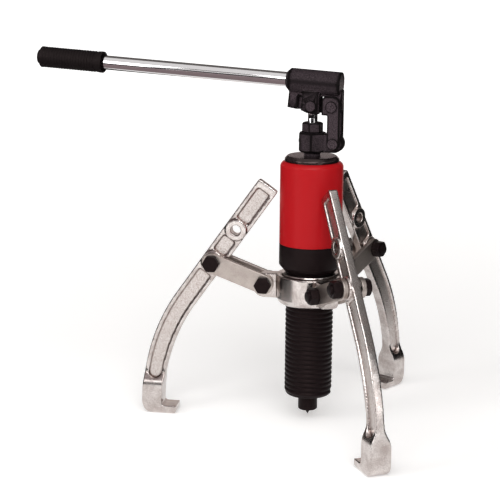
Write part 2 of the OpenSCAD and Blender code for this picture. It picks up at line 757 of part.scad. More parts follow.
module handle_grip() color(rubber) on_lever() translate([0, 0, -grip_reach]) rotate_extrude() polygon([
    [0, 0], [grip_d / 2 - grip_edge, 0], [grip_d / 2, grip_edge], [grip_d / 2, grip_edge * 3],
    [grip_waist_d / 2, grip_len / 3], [grip_waist_d / 2, grip_len * 2 / 3],
    [grip_d / 2, grip_len - grip_edge * 2],
    [grip_d / 2, grip_len - grip_edge / 2], [grip_d / 2 - grip_edge / 2, grip_len],
    [tube_d / 2 + running, grip_len],
    [tube_d / 2 + running, grip_wall_end - running], [0, grip_wall_end - running]
]);

// Puller

module yoke() color(steel) difference() {
    union() {
        rotate_extrude() {
            translate([0, z_yoke_top - yoke_h]) square([yoke_d / 2 - yoke_round, yoke_h]);
            translate([0, z_yoke_top - yoke_h + yoke_round]) square([yoke_d / 2, yoke_h - yoke_round]);
            translate([yoke_d / 2 - yoke_round, z_yoke_top - yoke_h + yoke_round]) circle(yoke_round);
            square_top();
        }
        for (k = [0:jaw_count - 1]) rotate([0, 0, azimuth(k)]) side_plate(-lug_t / 2, lug_t / 2) {
            translate([yoke_d / 2 - lug_root, z_lug - lug_end_r - lug_sag])
                square([lug_r - yoke_d / 2 + lug_root, 2 * lug_end_r + lug_sag]);
            translate([lug_r, z_lug - lug_sag]) square([lug_end_r, lug_sag]);
            translate([lug_r, z_lug]) circle(lug_end_r);
            translate([lug_r, z_lug - lug_sag]) circle(lug_end_r);
        }
    }
    translate([0, 0, z_yoke_top - yoke_h - 1]) cylinder(d = barrel_d + 2 * running, h = yoke_h + rim_h + 2);
    for (k = [0:jaw_count - 1]) rotate([0, 0, azimuth(k)])
        side_plate(-lug_t, lug_t) translate([lug_r, z_lug]) circle(bolt_hole_r);
}
module square_top() translate([0, z_yoke_top - 1]) square([rim_d / 2, rim_h + 1]);

// A jaw's plane: u outwards from its lug bolt, v up
module at_lug(k) rotate([0, 0, azimuth(k)]) translate([lug_r, 0, z_lug]) children();
module at_jaw(k) at_lug(k)
    translate([link_span * cos(rise(k)), 0, link_span * sin(rise(k))]) rotate([0, -swings[k], 0]) children();

module bolt() {
    translate([0, 0, -head_face - nut_h - bolt_tail])
        cylinder(d = bolt_d, h = 2 * head_face + nut_h + bolt_tail + 1);
    translate([0, 0, head_face]) bevelled_hex(bolt_af, head_h, 0, 1.2);
}
module nut() difference() {
    translate([0, 0, -head_face - nut_h]) bevelled_hex(bolt_af, nut_h, 1.2, 1.2);
    translate([0, 0, -head_face - nut_h - 1]) cylinder(d = bolt_d + 2 * running, h = nut_h + 2);
}
// Bolts run along the tangent, with the head on its forward side
module along_tangent() rotate([-90, 0, 0]) children();

module lug_bolts() color(black) for (k = [0:jaw_count - 1]) at_lug(k) along_tangent() bolt();
module lug_nuts() color(black) for (k = [0:jaw_count - 1]) at_lug(k) along_tangent() nut();
module jaw_bolt(k) color(black) at_jaw(k) along_tangent() bolt();
module jaw_nut(k) color(black) at_jaw(k) along_tangent() nut();

module link_plate(k, y0) color(satin) at_lug(k) rotate([0, -rise(k), 0])
    side_plate(y0, y0 + link_t) difference() {
    union() {
        circle(d = link_w);
        translate([0, -link_w / 2]) square([link_span, link_w]);
        translate([link_span, 0]) circle(d = link_w);
    }
    circle(bolt_hole_r);
    translate([link_span, 0]) circle(bolt_hole_r);
}

// The jaw's shank runs along x from the top end down to the curved limb
module along_shank() rotate(jaw_lean - 90) children();
module limb_sector(r_out, r_in, from) translate(limb_centre) intersection() {
    difference() {
        circle(r_out);
        translate(inner_shift * [cos(jaw_lean), sin(jaw_lean)]) circle(r_in - inner_shift);
    }
    polygon([[0, 0], 1.3 * limb_r * [cos(from), sin(from)], 1.3 * limb_r * [cos(jaw_lean), sin(jaw_lean)]]);
}

module jaw_outline() {
    along_shank() translate([-shank_up, -jaw_w / 2]) {
        translate([shank_corner, 0]) square([shank_up + shank_down - shank_corner, jaw_w]);
        translate([0, shank_corner]) square([shank_corner * 2, jaw_w - 2 * shank_corner]);
        for (y = [shank_corner, jaw_w - shank_corner]) translate([shank_corner, y]) circle(shank_corner);
    }
    limb_sector(limb_outer, limb_inner, 0);
    hook_outline();
}

module hook_outline() {
    translate([limb_inner_u, heel[1]]) square([limb_outer_u - limb_inner_u, limb_centre[1] - heel[1]]);
    translate([limb_inner_u, sole_v]) square([heel[0] - limb_inner_u, heel_r]);
    translate(heel) intersection() {
        circle(heel_r);
        translate([0, -heel_r]) square(heel_r);
    }
    translate([lip_tip_u + sole_edge_r, sole_v]) square([lip_reach, lip_t]);
    translate([lip_tip_u, sole_v + sole_edge_r]) square([lip_reach, lip_t - sole_edge_r]);
    translate([lip_tip_u + sole_edge_r, sole_v + sole_edge_r]) circle(sole_edge_r);
    translate([limb_inner_u - lip_fillet_r, lip_top_v]) difference() {
        square(lip_fillet_r + 0.5);
        translate([0, lip_fillet_r]) circle(lip_fillet_r);
    }
}

// The hook seen from outside, from its sole up to the limb
module flare_outline() difference() {
    union() {
        translate([-hook_w / 2, sole_v]) round_rect(hook_w, 3 * sole_edge_r, sole_edge_r);
        translate([-hook_w / 2, sole_v + sole_edge_r]) square([hook_w, flare_low - sole_v - sole_edge_r]);
        intersection() {
            translate([hook_w / 2 - flare_r, flare_low]) circle(flare_r);
            translate([flare_r - hook_w / 2, flare_low]) circle(flare_r);
            translate([-hook_w / 2, flare_low]) square([hook_w, flare_run / 2]);
        }
        translate([(flare_rise - hook_w) / 2, flare_mid]) square([hook_w - flare_rise, flare_run / 2]);
    }
    for (x = [-1, 1]) translate([x * (flange_t / 2 + flare_r), flare_v]) circle(flare_r);
}

module pocket_outline() {
    along_shank() {
        translate([pocket_margin - shank_up, -pocket_w / 2])
            round_rect(shank_up - spare_up - spare_boss_r - pocket_margin, pocket_w, pocket_round);
        translate([spare_boss_r - spare_up, -pocket_w / 2])
            round_rect(spare_up - spare_boss_r - jaw_w / 2, pocket_w, pocket_round);
        translate([jaw_w / 2 + 2, -pocket_w / 2])
            round_rect(shank_down - jaw_w / 2 - 2, pocket_w, pocket_round);
        translate([shank_down - 2 * pocket_round, -pocket_w / 2]) square([2 * pocket_round, pocket_w]);
    }
    limb_sector(limb_r + pocket_w / 2, limb_r - pocket_w / 2, pocket_end_angle);
    translate(limb_centre + (limb_r + pocket_thin / 2) * [cos(pocket_end_angle), sin(pocket_end_angle)])
        circle(d = pocket_w - pocket_thin);
}

module jaw(k) color(steel) at_jaw(k) difference() {
    union() {
        side_plate(-flange_t / 2, flange_t / 2) jaw_outline();
        side_plate(-jaw_boss_t / 2, jaw_boss_t / 2) {
            circle(d = jaw_w);
            along_shank() translate([-spare_up, 0]) circle(spare_boss_r);
        }
        intersection() {
            side_plate(-hook_w / 2, hook_w / 2) jaw_outline();
            translate([lip_tip_u - 1, 0, 0]) rotate([90, 0, 90])
                linear_extrude(height = limb_outer) flare_outline();
        }
    }
    for (y = [-flange_t, web_t / 2]) side_plate(y, y + flange_t - web_t / 2) pocket_outline();
    side_plate(-lug_t, lug_t) circle(bolt_hole_r);
    side_plate(-lug_t, lug_t) along_shank() translate([-spare_up, 0]) circle(d = spare_d);
}

module jaw_link_1_head_side() link_plate(0, link_inner);
module jaw_link_1_nut_side() link_plate(0, -link_outer);
module jaw_link_2_head_side() link_plate(1, link_inner);
module jaw_link_2_nut_side() link_plate(1, -link_outer);
module jaw_link_3_head_side() link_plate(2, link_inner);
module jaw_link_3_nut_side() link_plate(2, -link_outer);
module jaw_1() jaw(0);
module jaw_2() jaw(1);
module jaw_3() jaw(2);
module jaw_bolt_1() jaw_bolt(0);
module jaw_bolt_2() jaw_bolt(1);
module jaw_bolt_3() jaw_bolt(2);
module jaw_nut_1() jaw_nut(0);
module jaw_nut_2() jaw_nut(1);
module jaw_nut_3() jaw_nut(2);

barrel();
rod_guide();
rod_wiper();
lower_band();
band_seals();
reservoir_sleeve();
top_cap();
valve_block();
check_balls();
head_seal();
filler_plug();
ram_rod();
piston();
piston_seal();
ram_nose();
centre_point();
return_spring();
pump_body();
gland_nut();
plunger_seal();
swivel_seal();
base_pin();
base_pin_clip();
release_screw();
fulcrum_link_front();
fulcrum_link_rear();
link_pin();
link_pin_clip();
plunger();
plunger_pin();
plunger_pin_clip();
handle_socket();
handle_tube();
handle_grip();
yoke();
lug_bolts();
lug_nuts();
jaw_link_1_head_side();
jaw_link_1_nut_side();
jaw_link_2_head_side();
jaw_link_2_nut_side();
jaw_link_3_head_side();
jaw_link_3_nut_side();
jaw_1();
jaw_2();
jaw_3();
jaw_bolt_1();
jaw_bolt_2();
jaw_bolt_3();
jaw_nut_1();
jaw_nut_2();
jaw_nut_3();
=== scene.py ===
"""Looks of a hydraulic three-jaw gear puller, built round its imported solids.

Every piece is in metres in the part's own frame: the origin is the ram nose's end face, +Z runs up the ram
and the lever points along -X.
"""

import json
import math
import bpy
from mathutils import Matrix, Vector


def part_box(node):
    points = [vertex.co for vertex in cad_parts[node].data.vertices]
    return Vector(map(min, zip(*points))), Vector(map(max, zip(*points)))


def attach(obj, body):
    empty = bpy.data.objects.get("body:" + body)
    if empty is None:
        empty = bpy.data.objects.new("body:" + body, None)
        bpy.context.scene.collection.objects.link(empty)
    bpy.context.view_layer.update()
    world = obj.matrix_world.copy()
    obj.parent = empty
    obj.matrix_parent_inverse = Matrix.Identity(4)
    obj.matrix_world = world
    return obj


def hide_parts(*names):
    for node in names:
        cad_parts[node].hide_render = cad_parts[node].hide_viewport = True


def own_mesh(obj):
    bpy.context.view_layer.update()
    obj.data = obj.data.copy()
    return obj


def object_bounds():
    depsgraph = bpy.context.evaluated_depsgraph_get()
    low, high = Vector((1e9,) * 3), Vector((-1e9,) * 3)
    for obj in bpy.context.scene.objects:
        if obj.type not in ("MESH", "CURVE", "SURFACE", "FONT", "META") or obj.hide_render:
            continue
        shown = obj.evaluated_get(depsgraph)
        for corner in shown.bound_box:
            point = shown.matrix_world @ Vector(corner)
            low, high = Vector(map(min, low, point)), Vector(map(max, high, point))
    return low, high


bl_info = {
    "name": "Hydraulic gear puller",
    "version": (1, 0, 0),
    "blender": (4, 5, 0),
    "location": "3D View > Sidebar > Puller",
    "description": "Dresses the packed gear puller with its thread, ribs, forged edges and finishes",
    "category": "Object",
}

import bmesh
import bpy
from mathutils import Matrix, Vector

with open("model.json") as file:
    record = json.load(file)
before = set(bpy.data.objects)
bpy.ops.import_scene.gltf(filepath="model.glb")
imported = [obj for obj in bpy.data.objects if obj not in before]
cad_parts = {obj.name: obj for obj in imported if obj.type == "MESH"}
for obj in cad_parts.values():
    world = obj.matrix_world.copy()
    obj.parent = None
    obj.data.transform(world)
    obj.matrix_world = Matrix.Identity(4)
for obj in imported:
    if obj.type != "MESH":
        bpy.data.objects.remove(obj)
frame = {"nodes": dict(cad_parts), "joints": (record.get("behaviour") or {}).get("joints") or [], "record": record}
CAD_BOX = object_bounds()
NODES = frame["nodes"]
JOINTS = {joint["name"]: joint for joint in frame["joints"]}
BODIES = frame["record"]["behaviour"]["bodies"]
BODY_OF = {node: body for body, nodes in BODIES.items() for node in nodes}
MM = 0.001
FLOOR_Z = CAD_BOX[0].z
JAWS = (1, 2, 3)

# The lever's axis crosses the ram's axis above the height of the link pin and rises towards the grip
LEVER_TILT = math.radians(2.9)
LEVER_RISE = 28.7 * MM
LINK_PIN_Z = JOINTS["lever_hinge"]["pos_m"][2]
LEVER_AXIS = (Matrix.Translation((0, 0, LINK_PIN_Z + LEVER_RISE))
              @ Matrix.Rotation(math.pi / 2 + LEVER_TILT, 4, "Y"))

# From the ram's axis to the lever's end, and the grip's length, in millimetres
LEVER_REACH = 365
GRIP_LENGTH = 90

# Rounds of smoothing that tell edges and corners from flats, on the large forgings and the small castings
FORGING_MELT = 14
CASTING_MELT = 20

# Most values of a noise texture lie between these two
NOISE_LOW, NOISE_HIGH = 0.3, 0.7

# Where a casting's outer edges begin and are full, in the mesh's "edge" value
EDGE_START, EDGE_FULL = 0.515, 0.6

# The colour sockets of a Mix node, which share their names with its other sockets
MIX_A, MIX_B, MIX_OUT = 6, 7, 2


class PullerSizes(bpy.types.PropertyGroup):
    """Sizes of the details that are added to the solids."""

    thread_pitch: bpy.props.FloatProperty(
        name="Barrel pitch", description="Rise of the barrel thread in one turn",
        default=6 * MM, unit="LENGTH")
    thread_depth: bpy.props.FloatProperty(
        name="Barrel thread depth", description="Height of the barrel thread",
        default=1.3 * MM, unit="LENGTH")
    rib_pitch: bpy.props.FloatProperty(
        name="Grip rib pitch", description="Distance between the grip's ribs",
        default=3.8 * MM, unit="LENGTH")
    rib_height: bpy.props.FloatProperty(
        name="Grip rib height", description="Height of the grip's ribs",
        default=0.75 * MM, unit="LENGTH")
    turned_edge: bpy.props.FloatProperty(
        name="Turned edge", description="Rounding of the edges of the plunger and the release screw",
        default=0.45 * MM, unit="LENGTH")
    bolt_edge: bpy.props.FloatProperty(
        name="Bolt edge", description="Rounding of the edges of the bolts and nuts",
        default=0.35 * MM, unit="LENGTH")


class PullerColours(bpy.types.PropertyGroup):
    """Colours of the finishes, as sRGB hex values."""

    red_enamel: bpy.props.StringProperty(
        name="Red enamel", description="Colour of the reservoir's enamel", default="#AC141A")
    black_oxide: bpy.props.StringProperty(
        name="Black oxide", description="Colour of the blackened steel", default="#110C0D")
    bright_zinc: bpy.props.StringProperty(
        name="Bright plating", description="Colour of the plated forgings", default="#D2CCC9")
    satin_steel: bpy.props.StringProperty(
        name="Satin links", description="Colour of the satin link plates", default="#B8AEA8")
    chrome: bpy.props.StringProperty(
        name="Chrome", description="Colour of the chromed lever and plunger", default="#E4E3E4")
    rubber: bpy.props.StringProperty(
        name="Grip rubber", description="Colour of the moulded grip", default="#100D0E")


def linear(hex_colour):
    """An sRGB hex value as linear red, green, blue and alpha."""
    parts = [int(hex_colour[i:i + 2], 16) / 255 for i in (1, 3, 5)]
    return [c / 12.92 if c <= 0.04045 else ((c + 0.055) / 1.055) ** 2.4 for c in parts] + [1.0]


def add(tree, kind, inputs=None, **settings):
    """Adds a node with its settings; an input is a value or the socket that feeds it."""
    node = tree.nodes.new(kind)
    for name, value in settings.items():
        setattr(node, name, value)
    for key, value in (inputs or {}).items():
        if isinstance(value, bpy.types.NodeSocket):
            tree.links.new(value, node.inputs[key])
        else:
            node.inputs[key].default_value = value
    return node


def bare_material(name):
    """The material of that name with its nodes cleared, new if there is none."""
    material = bpy.data.materials.get(name) or bpy.data.materials.new(name)
    material.use_nodes = True
    material.node_tree.nodes.clear()
    return material


def finish(name, tones, rough, grain_mm, pit_mm, pit_depth_mm, metallic=0.0, coat=0.0, shine=0.5,
           sheen="#FFFFFF"):
    """A finish with two close tones in soft patches, uneven gloss and a fine surface relief."""
    spread = 0.12
    material = bare_material(name)
    tree = material.node_tree
    place = add(tree, "ShaderNodeTexCoord").outputs["Object"]
    patches = add(tree, "ShaderNodeTexNoise", {
        "Vector": place, "Scale": 1 / (grain_mm * MM), "Detail": 4.0, "Roughness": 0.6}).outputs["Fac"]
    tone = add(tree, "ShaderNodeMix", {
        "Factor": patches, MIX_A: linear(tones[0]), MIX_B: linear(tones[1])}, data_type="RGBA")
    gloss = add(tree, "ShaderNodeMapRange", {
        "Value": patches, "From Min": NOISE_LOW, "From Max": NOISE_HIGH,
        "To Min": rough * (1 - spread), "To Max": rough * (1 + spread)})
    pits = add(tree, "ShaderNodeTexNoise", {
        "Vector": place, "Scale": 1 / (pit_mm * MM), "Detail": 3.0, "Roughness": 0.55})
    relief = add(tree, "ShaderNodeBump", {
        "Height": pits.outputs["Fac"], "Distance": pit_depth_mm * MM, "Strength": 1.0})
    shader = add(tree, "ShaderNodeBsdfPrincipled", {
        "Base Color": tone.outputs[MIX_OUT], "Roughness": gloss.outputs["Result"],
        "Normal": relief.outputs["Normal"], "Metallic": metallic, "Specular IOR Level": shine,
        "Specular Tint": linear(sheen), "Coat Weight": coat, "Coat Roughness": 0.08})
    add(tree, "ShaderNodeOutputMaterial", {"Surface": shader.outputs["BSDF"]})
    return material


def forging(name, tones, floor_tone, corner_shade_tone, rough, edge_shade_tone=None, speck_tone=None, metallic=1.0,
            shine=0.5, sheen="#FFFFFF"):
    """A forged or cast surface: uneven in tone, with painted shade in its corners, and coarse on its pocket
    floors.

    An edge shade tone makes the outer edges dull and paints them in that tone, a painted dark reflection. A speck
    tone speckles the faces.
    """
    material = bare_material(name)
    tree = material.node_tree
    place = add(tree, "ShaderNodeTexCoord").outputs["Object"]
    edge = add(tree, "ShaderNodeAttribute", attribute_name="edge").outputs["Fac"]
    floor = add(tree, "ShaderNodeAttribute", attribute_name="floor").outputs["Fac"]
    # Waves of 14 mm are the hammered unevenness, and a grain of 1.3 mm is the scale on the skin
    waves = add(tree, "ShaderNodeTexNoise", {
        "Vector": place, "Scale": 1 / (14 * MM), "Detail": 3.0, "Roughness": 0.5}).outputs["Fac"]
    grain = add(tree, "ShaderNodeTexNoise", {
        "Vector": place, "Scale": 1 / (1.3 * MM), "Detail": 4.0, "Roughness": 0.65}).outputs["Fac"]
    uneven = add(tree, "ShaderNodeMath", {0: waves, 1: grain}, operation="ADD").outputs[0]
    worn = add(tree, "ShaderNodeMapRange", {"Value": grain, "From Min": 0.32, "From Max": 0.56})
    cast = add(tree, "ShaderNodeMix", {
        "Factor": worn.outputs["Result"], MIX_A: linear(floor_tone), MIX_B: linear(tones[0])},
        data_type="RGBA")

    # Each layer of colour: the value that brings it in, where it starts, where it is full, and its colour
    layers = [(uneven, 0.8, 1.2, linear(tones[1])), (floor, 0.0, 1.0, cast.outputs[MIX_OUT])]
    if speck_tone:
        # The real grit is finer than a pixel of the render, so it is drawn at 0.9 mm to show
        specks = add(tree, "ShaderNodeTexNoise", {"Vector": place, "Scale": 1 / (0.9 * MM), "Detail": 2.0})
        layers.append((specks.outputs["Fac"], 0.38, 0.72, linear(speck_tone)))
    # Painted shade: corners, where the edge value falls below the flats', darken towards the corner shade tone
    layers.append((edge, 0.38, 0.1, linear(corner_shade_tone)))
    # Painted dark reflection: the outer edges take the edge shade tone
    if edge_shade_tone:
        layers.append((edge, EDGE_START, EDGE_FULL, linear(edge_shade_tone)))
    tone = linear(tones[0])
    for value, start, full, colour in layers:
        share = add(tree, "ShaderNodeMapRange", {"Value": value, "From Min": start, "From Max": full})
        mixed = add(tree, "ShaderNodeMix", {
            "Factor": share.outputs["Result"], MIX_A: tone, MIX_B: colour}, data_type="RGBA")
        tone = mixed.outputs[MIX_OUT]

    gloss = add(tree, "ShaderNodeMapRange", {
        "Value": waves, "From Min": NOISE_LOW, "From Max": NOISE_HIGH,
        "To Min": rough * 0.85, "To Max": rough * 1.2}).outputs["Result"]
    if edge_shade_tone:
        dull = add(tree, "ShaderNodeMapRange", {
            "Value": edge, "From Min": EDGE_START, "From Max": EDGE_FULL, "To Min": 0.0, "To Max": 0.45})
        gloss = add(tree, "ShaderNodeMath", {
            0: gloss, 1: dull.outputs["Result"]}, operation="ADD").outputs[0]
    gloss = add(tree, "ShaderNodeMath", {
        0: floor, 1: 0.08, 2: gloss}, operation="MULTIPLY_ADD").outputs[0]
    bumpy = add(tree, "ShaderNodeMapRange", {"Value": floor, "To Min": 0.08, "To Max": 1.0})
    relief = add(tree, "ShaderNodeBump", {
        "Height": grain, "Distance": 0.16 * MM, "Strength": bumpy.outputs["Result"]})
    shader = add(tree, "ShaderNodeBsdfPrincipled", {
        "Base Color": tone, "Roughness": gloss, "Normal": relief.outputs["Normal"], "Metallic": metallic,
        "Specular IOR Level": shine, "Specular Tint": linear(sheen)})
    add(tree, "ShaderNodeOutputMaterial", {"Surface": shader.outputs["BSDF"]})
    return material


def palette(scene):
    """The finishes by the record's slot, from what each real surface is and how it was made."""
    colours = scene.puller_colours
    return {
        # Stoved enamel on a turned tube: even satin gloss with a trace of orange peel
        "red_paint": finish(
            "stoved red enamel", (colours.red_enamel, "#A31218"), 0.32,
            grain_mm=30, pit_mm=2.5, pit_depth_mm=0.02, coat=0.04, shine=0.1),
        # Blackened steel: dark, oily, with brownish highlights and fine tool marks
        "black_steel": finish(
            "black oxide steel", (colours.black_oxide, "#1A1314"), 0.4,
            grain_mm=8, pit_mm=0.9, pit_depth_mm=0.03, shine=0.09, sheen="#FFDEDA"),
        # Blackened and polished cap: a darker gloss that mirrors what stands on it
        "black_gloss": finish(
            "polished black oxide", (colours.black_oxide, "#1A1314"), 0.16,
            grain_mm=8, pit_mm=0.9, pit_depth_mm=0.01, sheen="#FFE0DC"),
        # Black paint on the rough cast and forged pump pieces: speckled faces, painted shade in the corners, and
        # dull edges with a painted dark reflection
        "black_casting": forging(
            "black painted casting", ("#1F1A1D", "#272124"), "#1F1A1D", "#050404", 0.3,
            edge_shade_tone="#050404", speck_tone="#51464B", metallic=0.0, shine=0.1, sheen="#FFEAF0"),
        # Hard chrome on a ground bar: a clean mirror
        "chrome_plate": finish(
            "polished chrome", (colours.chrome, "#DAD7D8"), 0.07,
            grain_mm=25, pit_mm=3, pit_depth_mm=0.002, metallic=1.0),
        # Drop forging, ground and zinc plated: bright faces, painted shade in the corners and coarse pocket floors
        "bright_forging": forging(
            "bright plated forging", (colours.bright_zinc, "#ADA29E"), "#A08E86", "#6A5751", 0.22),
        # Sand-cast plate, tumbled: even satin with a warm cast, and painted shade in its corners
        "satin_links": forging(
            "satin cast steel", (colours.satin_steel, "#A89D97"), "#8A7D76", "#5A4A46", 0.38),
        # Turned steel, left bare: a soft grey shine
        "plain_steel": finish(
            "turned bare steel", ("#B9B6B4", "#A8A4A2"), 0.3,
            grain_mm=4, pit_mm=0.7, pit_depth_mm=0.02, metallic=1.0),
        # Cast bearing bronze, bored: a dull warm yellow
        "bronze": finish(
            "bored bearing bronze", ("#B08A55", "#9C7746"), 0.34,
            grain_mm=4, pit_mm=0.7, pit_depth_mm=0.02, metallic=1.0),
        # Moulded rubber: matt, slightly dusty
        "rubber": finish(
            "moulded black rubber", (colours.rubber, "#161213"), 0.6,
            grain_mm=5, pit_mm=0.6, pit_depth_mm=0.04, shine=0.12, sheen="#FFE4E0"),
    }


def soften(mesh, degrees):
    """Smooth shading, with sharp edges kept where faces turn more than the angle."""
    mesh.shade_smooth()
    mesh.set_sharp_from_angle(angle=math.radians(degrees))
    return mesh


def keep(name, mesh, material, body, slot, *nodes):
    """Makes a mesh a piece that rides on a body and stands for the given solids."""
    mesh.materials.clear()
    mesh.materials.append(material)
    piece = bpy.data.objects.new(name, mesh)
    bpy.context.scene.collection.objects.link(piece)
    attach(piece, body)
    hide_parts(*nodes)
    return piece


def held(mesh):
    """A short-lived object that holds a mesh for its modifiers."""
    holder = bpy.data.objects.new("holder", mesh)
    bpy.context.scene.collection.objects.link(holder)
    return holder


def taken(holder):
    """The plain mesh that a holder's modifiers give; the holder is removed."""
    graph = bpy.context.evaluated_depsgraph_get()
    mesh = bpy.data.meshes.new_from_object(holder.evaluated_get(graph))
    holder.modifiers.clear()
    bpy.data.objects.remove(holder)
    return mesh


def settled(mesh, *modifiers):
    """A mesh with modifiers applied, each given as a type and its settings."""
    holder = held(mesh)
    for kind, settings in modifiers:
        modifier = holder.modifiers.new(kind, kind)
        for key, value in settings.items():
            setattr(modifier, key, value)
    return taken(holder)


def grown(tree, values):
    """The mesh that a Geometry Nodes tree makes from its named inputs."""
    holder = held(bpy.data.meshes.new("seed"))
    modifier = holder.modifiers.new("grow", "NODES")
    modifier.node_group = tree
    for socket in tree.interface.items_tree:
        if socket.in_out == "INPUT":
            modifier[socket.identifier] = values[socket.name]
    return taken(holder)


def merged_copy(node):
    """A copy of a solid's mesh with its loose triangles joined and its flat faces made whole."""
    mesh = NODES[node].data.copy()
    shape = bmesh.new()
    shape.from_mesh(mesh)
    bmesh.ops.remove_doubles(shape, verts=shape.verts, dist=2e-6)
    bmesh.ops.dissolve_limit(shape, angle_limit=math.radians(1.0), verts=shape.verts, edges=shape.edges)
    shape.to_mesh(mesh)
    shape.free()
    return mesh


def eased(node, width):
    """A copy of a solid with its edges rounded."""
    mesh = settled(merged_copy(node), ("BEVEL", {
        "width": width, "segments": 3, "limit_method": "ANGLE", "angle_limit": math.radians(32),
        "use_clamp_overlap": True, "miter_outer": "MITER_ARC"}))
    return soften(mesh, 40)


def forged(node, grain, rounds, melt=FORGING_MELT):
    """A copy of a solid as a forging: every edge and corner is eased, inside and out.

    The mesh carries a value for its finish and its painted shade: "edge" is 0.5 on flats, more on outer edges,
    less in corners.
    """
    dense = settled(
        merged_copy(node),
        ("REMESH", {"mode": "VOXEL", "voxel_size": grain, "adaptivity": 0.0}),
        ("SMOOTH", {"factor": 0.5, "iterations": rounds}))
    melted = settled(dense.copy(), ("SMOOTH", {"factor": 0.5, "iterations": melt}))
    edge = dense.attributes.new("edge", "FLOAT", "POINT")
    full_shift = 0.5 * MM
    for vert, soft, value in zip(dense.vertices, melted.vertices, edge.data):
        outward = (soft.co - vert.co).dot(vert.normal)
        value.value = min(1.0, max(0.0, 0.5 - outward / full_shift))
    mesh = settled(dense, ("DECIMATE", {"decimate_type": "COLLAPSE", "ratio": 0.4}))
    mesh.shade_smooth()
    return mesh


def mark_floors(mesh, across):
    """Marks the pocket floors of a jaw: faces square to its plane that lie near its web."""
    floor = mesh.attributes.new("floor", "FLOAT", "POINT")
    reach_mm, fade_mm = 4.6, 1.2
    for vert, value in zip(mesh.vertices, floor.data):
        depth_mm = abs(vert.co.dot(across)) / MM
        near = max(0.0, min(1.0, (reach_mm - depth_mm) / fade_mm))
        square = max(0.0, 2.0 * abs(vert.normal.dot(across)) - 1.0)
        value.value = near * square
    return mesh


def lathe(outline, steps=144, place=None):
    """A closed solid turned from an outline of (radius, height) points, in millimetres."""
    shape = bmesh.new()
    rings = []
    for radius, height in outline:
        if radius < 1e-6:
            rings.append([shape.verts.new((0, 0, height * MM))])
        else:
            rings.append([
                shape.verts.new((radius * MM * math.cos(math.tau * i / steps),
                                 radius * MM * math.sin(math.tau * i / steps), height * MM))
                for i in range(steps)])
    closed = len(rings[0]) > 1 and len(rings[-1]) > 1
    pairs = list(zip(rings, rings[1:])) + ([(rings[-1], rings[0])] if closed else [])
    for low, high in pairs:
        for i in range(steps):
            j = (i + 1) % steps
            corners = [low[i % len(low)], low[j % len(low)], high[j % len(high)], high[i % len(high)]]
            corners = list(dict.fromkeys(corners))
            if len(corners) > 2:
                shape.faces.new(corners)
    bmesh.ops.recalc_face_normals(shape, faces=shape.faces)
    if place:
        shape.transform(place)
    mesh = bpy.data.meshes.new("turned")
    shape.to_mesh(mesh)
    shape.free()
    return soften(mesh, 30)


def joined(*meshes):
    """Several meshes as one."""
    shape = bmesh.new()
    for mesh in meshes:
        shape.from_mesh(mesh)
    whole = bpy.data.meshes.new("joined")
    shape.to_mesh(whole)
    shape.free()
    return whole


def arc(cx, cz, radius, start, end, count):
    """Points of an arc in an outline, angles in degrees from the outward direction."""
    turns = [math.radians(start + (end - start) * i / count) for i in range(count + 1)]
    return [(cx + radius * math.cos(turn), cz + radius * math.sin(turn)) for turn in turns]


def new_tree(name, inputs):
    """An empty Geometry Nodes tree with the named inputs and one Geometry output."""
    tree = bpy.data.node_groups.new(name, "GeometryNodeTree")
    for label, kind in inputs.items():
        tree.interface.new_socket(label, in_out="INPUT", socket_type=kind)
    tree.interface.new_socket("Geometry", in_out="OUTPUT", socket_type="NodeSocketGeometry")
    return tree


def thread_tree():
    """Geometry Nodes: a ridge of trapezoid section wound up a shaft."""
    number = "NodeSocketFloat"
    tree = new_tree("wound thread", {
        "Crest Radius": number, "Depth": number, "Pitch": number, "Length": number, "Foot": number,
        "Material": "NodeSocketMaterial"})
    foot_share, crest_share = 0.86, 0.26
    given = add(tree, "NodeGroupInput").outputs
    turns = add(tree, "ShaderNodeMath", {0: given["Length"], 1: given["Pitch"]}, operation="DIVIDE")
    half = add(tree, "ShaderNodeMath", {0: given["Depth"], 1: 0.5}, operation="MULTIPLY")
    middle = add(tree, "ShaderNodeMath", {
        0: given["Crest Radius"], 1: half.outputs[0]}, operation="SUBTRACT")
    wide = add(tree, "ShaderNodeMath", {0: given["Pitch"], 1: foot_share}, operation="MULTIPLY")
    narrow = add(tree, "ShaderNodeMath", {0: given["Pitch"], 1: crest_share}, operation="MULTIPLY")
    path = add(tree, "GeometryNodeCurveSpiral", {
        "Resolution": 96, "Rotations": turns.outputs[0], "Start Radius": middle.outputs[0],
        "End Radius": middle.outputs[0], "Height": given["Length"]})
    upright = add(tree, "GeometryNodeSetCurveNormal", {"Curve": path.outputs["Curve"]}, mode="Z_UP")
    section = add(tree, "GeometryNodeCurvePrimitiveQuadrilateral", {
        "Height": given["Depth"], "Bottom Width": wide.outputs[0], "Top Width": narrow.outputs[0],
        "Offset": 0.0}, mode="TRAPEZOID")
    turned = add(tree, "GeometryNodeTransform", {
        "Geometry": section.outputs["Curve"], "Rotation": (0.0, 0.0, math.pi / 2)})
    ridge = add(tree, "GeometryNodeCurveToMesh", {
        "Curve": upright.outputs["Curve"], "Profile Curve": turned.outputs["Geometry"], "Fill Caps": True})
    lift = add(tree, "ShaderNodeCombineXYZ", {"Z": given["Foot"]})
    placed = add(tree, "GeometryNodeTransform", {
        "Geometry": ridge.outputs["Mesh"], "Translation": lift.outputs["Vector"]})
    real = add(tree, "GeometryNodeRealizeInstances", {"Geometry": placed.outputs["Geometry"]})
    dressed = add(tree, "GeometryNodeSetMaterial", {
        "Geometry": real.outputs["Geometry"], "Material": given["Material"]})
    add(tree, "NodeGroupOutput", {"Geometry": dressed.outputs["Geometry"]})
    return tree


